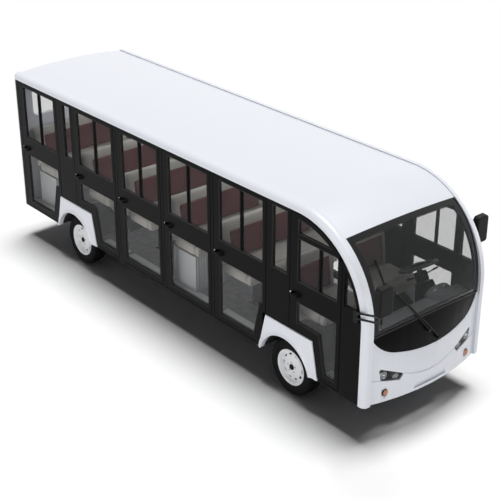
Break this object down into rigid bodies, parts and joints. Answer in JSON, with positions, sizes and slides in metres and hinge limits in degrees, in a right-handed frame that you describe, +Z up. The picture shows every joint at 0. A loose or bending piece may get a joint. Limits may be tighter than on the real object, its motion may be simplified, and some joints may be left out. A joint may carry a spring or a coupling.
{
  "type": "sightseeing car",
  "caption": "Closed sightseeing car with a wrap-over windscreen, white roof hoops, hinged glazed doors along its side, padded benches and pressed-steel wheels.",
  "frame": {"origin": "on the ground, midway along and across the car with its mirrors", "axes": "+X forward, +Y to the car's left, +Z up"},
  "size_m": [6.097, 1.892, 2.0638],
  "materials": {
    "white_paint": "gloss",
    "black_paint": "gloss",
    "tinted_glass": "gloss",
    "screen_glass": "gloss",
    "frame_steel": "satin",
    "floor_grey": "matte",
    "dark_plastic": "satin",
    "red_lens": "gloss",
    "amber_lens": "gloss",
    "lamp_black": "gloss",
    "seat_beige": "satin",
    "grey_paint": "satin",
    "axle_iron": "matte",
    "wheel_white": "gloss",
    "tyre": "matte"
  },
  "bodies": {
    "body": {"battery_boxes": "grey_paint", "cantrails": "black_paint", "chassis_frame": "frame_steel", "dashboard": "dark_plastic", "fixed_side_glass": "tinted_glass", "fixed_side_panels": "black_paint", "floor_panels": "floor_grey", "front_axle": "axle_iron", "front_fascia": "white_paint", "headlamps": "lamp_black", "leaf_springs": "frame_steel", "mirrors": "dark_plastic", "nose_black_panel": "black_paint", "rear_axle": "axle_iron", "rear_panel": "white_paint", "rear_window": "tinted_glass", "roof_hoops": "white_paint", "roof_panel": "white_paint", "seat_backs": "seat_beige", "seat_cushions": "seat_beige", "seat_pedestals": "dark_plastic", "side_pillars": "black_paint", "sills": "black_paint", "steering_column": "dark_plastic", "tail_lamps": "red_lens", "tow_eyes": "frame_steel", "turn_lamps": "amber_lens", "wheel_arch_trims": "white_paint", "wheel_housings": "dark_plastic", "windscreen": "screen_glass", "wiper": "dark_plastic"},
    "door_right_1": {"door_right_1": "black_paint", "door_glass_right_1": "tinted_glass"},
    "door_right_2": {"door_right_2": "black_paint", "door_glass_right_2": "tinted_glass"},
    "door_right_3": {"door_right_3": "black_paint", "door_glass_right_3": "tinted_glass"},
    "door_right_4": {"door_right_4": "black_paint", "door_glass_right_4": "tinted_glass"},
    "door_right_5": {"door_right_5": "black_paint", "door_glass_right_5": "tinted_glass"},
    "door_right_6": {"door_right_6": "black_paint", "door_glass_right_6": "tinted_glass"},
    "door_left_6": {"door_left_6": "black_paint", "door_glass_left_6": "tinted_glass"},
    "knuckle_right": {"knuckle_right": "axle_iron"},
    "knuckle_left": {"knuckle_left": "axle_iron"},
    "tie_rod": {"tie_rod": "frame_steel"},
    "steering_wheel": {"steering_wheel": "dark_plastic"},
    "wheel_front_right": {"rim_front_right": "wheel_white", "tyre_front_right": "tyre"},
    "wheel_front_left": {"rim_front_left": "wheel_white", "tyre_front_left": "tyre"},
    "wheel_rear_right": {"rim_rear_right": "wheel_white", "tyre_rear_right": "tyre"},
    "wheel_rear_left": {"rim_rear_left": "wheel_white", "tyre_rear_left": "tyre"}
  },
  "joints": [
    {"name": "door_right_1_hinge", "type": "hinge", "parent": "body", "child": "door_right_1", "pos_m": [-2.156, -0.754, 1.2], "axis": [0, 0, 1], "range_deg": [0, 80]},
    {"name": "door_right_2_hinge", "type": "hinge", "parent": "body", "child": "door_right_2", "pos_m": [-1.02, -0.754, 1.2], "axis": [0, 0, 1], "range_deg": [0, 80]},
    {"name": "door_right_3_hinge", "type": "hinge", "parent": "body", "child": "door_right_3", "pos_m": [-0.204, -0.754, 1.2], "axis": [0, 0, 1], "range_deg": [0, 80]},
    {"name": "door_right_4_hinge", "type": "hinge", "parent": "body", "child": "door_right_4", "pos_m": [0.612, -0.754, 1.2], "axis": [0, 0, 1], "range_deg": [0, 80]},
    {"name": "door_right_5_hinge", "type": "hinge", "parent": "body", "child": "door_right_5", "pos_m": [1.428, -0.754, 1.2], "axis": [0, 0, 1], "range_deg": [0, 80]},
    {"name": "door_right_6_hinge", "type": "hinge", "parent": "body", "child": "door_right_6", "pos_m": [2.418, -0.754, 1.2], "axis": [0, 0, 1], "range_deg": [0, 80]},
    {"name": "door_left_6_hinge", "type": "hinge", "parent": "body", "child": "door_left_6", "pos_m": [2.418, 0.754, 1.2], "axis": [0, 0, -1], "range_deg": [0, 80]},
    {"name": "steer_right", "type": "hinge", "parent": "body", "child": "knuckle_right", "pos_m": [1.719, -0.53, 0.2875], "axis": [0, 0, 1], "range_deg": [-32, 32]},
    {"name": "steer_left", "type": "hinge", "parent": "body", "child": "knuckle_left", "pos_m": [1.719, 0.53, 0.2875], "axis": [0, 0, 1], "range_deg": [-32, 32]},
    {"name": "tie_rod_slide", "type": "slide", "parent": "body", "child": "tie_rod", "axis": [0, 1, 0], "range_m": [-0.0505, 0.0505]},
    {"name": "steering_wheel_turn", "type": "hinge", "parent": "body", "child": "steering_wheel", "pos_m": [2.273, 0.378, 1.221], "axis": [-0.5, 0, 0.866], "range_deg": [-512, 512]},
    {"name": "wheel_front_right_spin", "type": "hinge", "parent": "knuckle_right", "child": "wheel_front_right", "pos_m": [1.719, -0.615, 0.2875], "axis": [0, 1, 0], "continuous": true},
    {"name": "wheel_front_left_spin", "type": "hinge", "parent": "knuckle_left", "child": "wheel_front_left", "pos_m": [1.719, 0.615, 0.2875], "axis": [0, 1, 0], "continuous": true},
    {"name": "wheel_rear_right_spin", "type": "hinge", "parent": "body", "child": "wheel_rear_right", "pos_m": [-1.896, -0.615, 0.2875], "axis": [0, 1, 0], "continuous": true},
    {"name": "wheel_rear_left_spin", "type": "hinge", "parent": "body", "child": "wheel_rear_left", "pos_m": [-1.896, 0.615, 0.2875], "axis": [0, 1, 0], "continuous": true}
  ],
  "couplings": [
    {"joint": "steer_left", "follows": "steer_right", "ratio": 1},
    {"joint": "tie_rod_slide", "follows": "steer_right", "m_per_rad": -0.09},
    {"joint": "steering_wheel_turn", "follows": "steer_right", "ratio": 16}
  ]
}
